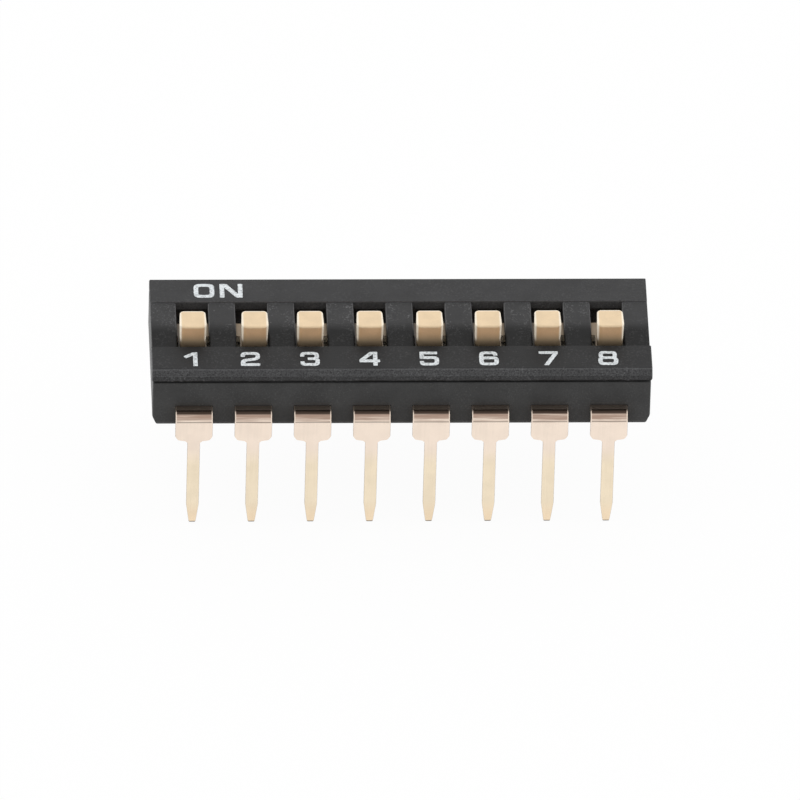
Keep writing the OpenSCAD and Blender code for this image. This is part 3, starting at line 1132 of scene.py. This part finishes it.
class SwitchFinishes(bpy.types.PropertyGroup):
    """The colours of the finishes."""

    cover: colour("Cover", "Black plastic of the cover", 0.039, 0.039, 0.04)
    base: colour("Base", "Black plastic of the base", 0.047, 0.047, 0.047)
    slider: colour("Sliders", "Beige plastic of the sliders", 0.82, 0.625, 0.395)
    # Painted shade below the knobs' tops, warmer and darker
    slider_warm: colour("Warm sliders", "Warmer tone below the knobs' tops", 0.68, 0.43, 0.235)
    # Painted shade low on the knobs and on the feet
    slider_low: colour("Low sliders", "Darker tone low on the knobs and on the feet", 0.38, 0.28, 0.175)
    # Painted highlights at the knobs' edges, and painted light low on the feet
    slider_rim: colour("Slider rims", "Pale tone at the knobs' edges and low on the feet", 1.0, 0.9, 0.74)
    plating: colour("Plating", "Pale gold plating of the leads", 0.92, 0.78, 0.66)
    plating_warm: colour("Warm plating", "Deeper tone of the legs", 0.9, 0.77, 0.58)
    plating_tip: colour("Tip plating", "Deepest tone at the tips", 0.91, 0.73, 0.52)
    # The brown of the painted reflection around the bends, also the tone of the stamped sides
    plating_bent: colour("Bent plating", "Brown tone around the bends", 0.4, 0.28, 0.22)
    contact: colour("Contacts", "Plating of the contacts", 0.85, 0.62, 0.3)
    ink: colour("Ink", "White ink of the print", 0.76, 0.8, 0.82)
    floor: colour("Floor", "Pale floor under the switch", 0.9, 0.9, 0.9)


class SwitchView(bpy.types.PropertyGroup):
    """Where the camera stands."""

    turn: angle("Turn", "How far the camera stands to the right of the front", -2.9)
    rise: angle("Rise", "How far above the floor the camera looks from", 38.1)
    roll: angle("Roll", "How far the camera is tilted sideways", -1.63)
    distance: length("Distance", "From the camera to the switch", 1200)
    width: length("Width", "Width of what is seen at that distance", 34.36)
    aim: bpy.props.FloatVectorProperty(
        name="Aim", description="The point that the camera is turned to",
        default=(0, 0, 0.00435), subtype="XYZ_LENGTH", precision=5,
    )
    slide: bpy.props.FloatVectorProperty(
        name="Slide", description="How far the camera is moved sideways and up from that point",
        size=2, default=(0.000079, -0.000602), unit="LENGTH", precision=6,
    )


class SWITCH_OT_cover(bpy.types.Operator):
    """Models the cover"""

    bl_idname = "slide_switch.cover"
    bl_label = "Cover"

    def execute(self, context):
        model_cover(black_plastic("cover_black", context.scene.switch_finishes.cover, cover_wear))
        return {"FINISHED"}


class SWITCH_OT_base(bpy.types.Operator):
    """Models the base"""

    bl_idname = "slide_switch.base"
    bl_label = "Base"

    def execute(self, context):
        model_base(black_plastic("base_black", context.scene.switch_finishes.base, base_wear))
        return {"FINISHED"}


class SWITCH_OT_leads(bpy.types.Operator):
    """Models the two rows of leads"""

    bl_idname = "slide_switch.leads"
    bl_label = "Leads"

    def execute(self, context):
        colours = context.scene.switch_finishes
        tones = colours.plating, colours.plating_warm, colours.plating_tip, colours.plating_bent
        material = gold_plating("lead_gold", *tones)
        for row in ("front", "back"):
            model_leads(row, material)
        return {"FINISHED"}


class SWITCH_OT_sliders(bpy.types.Operator):
    """Models the sliders"""

    bl_idname = "slide_switch.sliders"
    bl_label = "Sliders"

    def execute(self, context):
        colours = context.scene.switch_finishes
        model_sliders((colours.slider, colours.slider_warm, colours.slider_low, colours.slider_rim))
        return {"FINISHED"}


class SWITCH_OT_contacts(bpy.types.Operator):
    """Plates the bridging contacts of the frame"""

    bl_idname = "slide_switch.contacts"
    bl_label = "Contacts"

    def execute(self, context):
        colours = context.scene.switch_finishes
        material = rolled_gold("contact_gold", colours.contact)
        for way in WAYS:
            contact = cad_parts[f"contact_{way}"]
            contact.data.materials.clear()
            contact.data.materials.append(material)
        return {"FINISHED"}


class SWITCH_OT_print(bpy.types.Operator):
    """Prints the numbers and ON"""

    bl_idname = "slide_switch.print"
    bl_label = "Print"

    def execute(self, context):
        model_print(white_ink("print_white", context.scene.switch_finishes.ink))
        return {"FINISHED"}


class SWITCH_OT_stage(bpy.types.Operator):
    """Adds the floor, the surround, the lamps and the camera"""

    bl_idname = "slide_switch.stage"
    bl_label = "Stage"

    def execute(self, context):
        add_stage()
        return {"FINISHED"}


OPERATORS = (
    SWITCH_OT_cover,
    SWITCH_OT_base,
    SWITCH_OT_leads,
    SWITCH_OT_sliders,
    SWITCH_OT_contacts,
    SWITCH_OT_print,
    SWITCH_OT_stage,
)
GROUPS = {
    "switch_sizes": SwitchSizes,
    "switch_finishes": SwitchFinishes,
    "switch_view": SwitchView,
}


class SWITCH_PT_pieces(bpy.types.Panel):
    """The switch's sizes, colours and pieces"""

    bl_idname = "SWITCH_PT_pieces"
    bl_label = "Slide switch"
    bl_space_type = "VIEW_3D"
    bl_region_type = "UI"
    bl_category = "Switch"

    def draw(self, context):
        for name, group in GROUPS.items():
            column = self.layout.column()
            for key in group.__annotations__:
                column.prop(getattr(context.scene, name), key)
        for operator in OPERATORS:
            self.layout.operator(operator.bl_idname)


CLASSES = (*GROUPS.values(), *OPERATORS, SWITCH_PT_pieces)


def register():
    for cls in CLASSES:
        bpy.utils.register_class(cls)
    for name, group in GROUPS.items():
        setattr(bpy.types.Scene, name, bpy.props.PointerProperty(type=group))


def unregister():
    for name in GROUPS:
        delattr(bpy.types.Scene, name)
    for cls in reversed(CLASSES):
        bpy.utils.unregister_class(cls)


def main():
    """Models the whole switch."""
    register()
    for operator in OPERATORS:
        group, name = operator.bl_idname.split(".")
        getattr(getattr(bpy.ops, group), name)()


if __name__ == "__main__":
    main()
